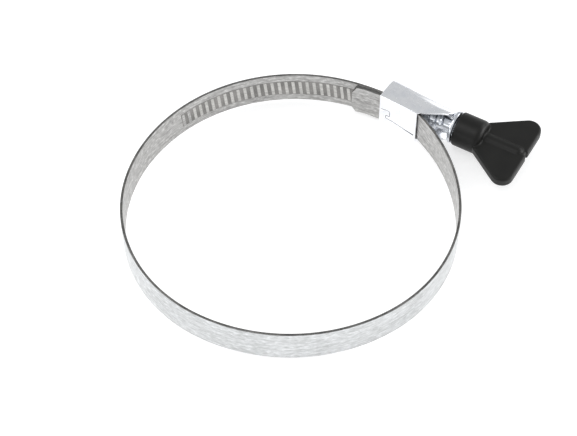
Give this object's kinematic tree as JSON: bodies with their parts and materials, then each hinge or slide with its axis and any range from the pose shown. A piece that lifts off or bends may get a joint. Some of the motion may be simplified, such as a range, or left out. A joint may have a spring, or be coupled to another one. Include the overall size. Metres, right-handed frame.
{
  "type": "worm-drive hose clamp",
  "caption": "Worm-drive hose clamp: a slotted steel band looped through a pressed housing and drawn tight by a screw with a plastic wing grip.",
  "frame": {"origin": "middle of the clamp's footprint, on the plane that it lies on", "axes": "+X along the screw towards the wing, +Y out of the loop through the housing, +Z across the band"},
  "size_m": [0.0826, 0.0956, 0.0108],
  "materials": {
    "band_steel": "galvanised strip, fine lengthwise grain and faint spangle",
    "housing_zinc": "bright zinc plate",
    "screw_zinc": "bright zinc plate",
    "grip_plastic": "moulded satin black"
  },
  "bodies": {
    "clamp_body": {"housing": "housing_zinc", "band_fixed_end": "band_steel"},
    "screw": {"worm_screw": "screw_zinc", "wing_grip": "grip_plastic"},
    "back_length": {"band_back": "band_steel"},
    "threaded_length": {"band_threaded_end": "band_steel"}
  },
  "joints": [
    {"name": "screw_turn", "type": "hinge", "parent": "clamp_body", "child": "screw", "pos_m": [0.02, 0.03651, 0.0054], "axis": [-1, 0, 0], "range_deg": [0, 2520]},
    {"name": "band_flex_right", "type": "hinge", "parent": "clamp_body", "child": "back_length", "pos_m": [0.03523, -0.02455, 0.0054], "axis": [0, 0, -1], "range_deg": [0, 7.36]},
    {"name": "band_flex_left", "type": "hinge", "parent": "back_length", "child": "threaded_length", "pos_m": [-0.03807, -0.02329, 0.0054], "axis": [0, 0, -1], "range_deg": [0, 5.64]}
  ],
  "couplings": [
    {"joint": "band_flex_right", "follows": "screw_turn", "ratio": 0.0029173},
    {"joint": "band_flex_left", "follows": "screw_turn", "ratio": 0.0022342}
  ]
}
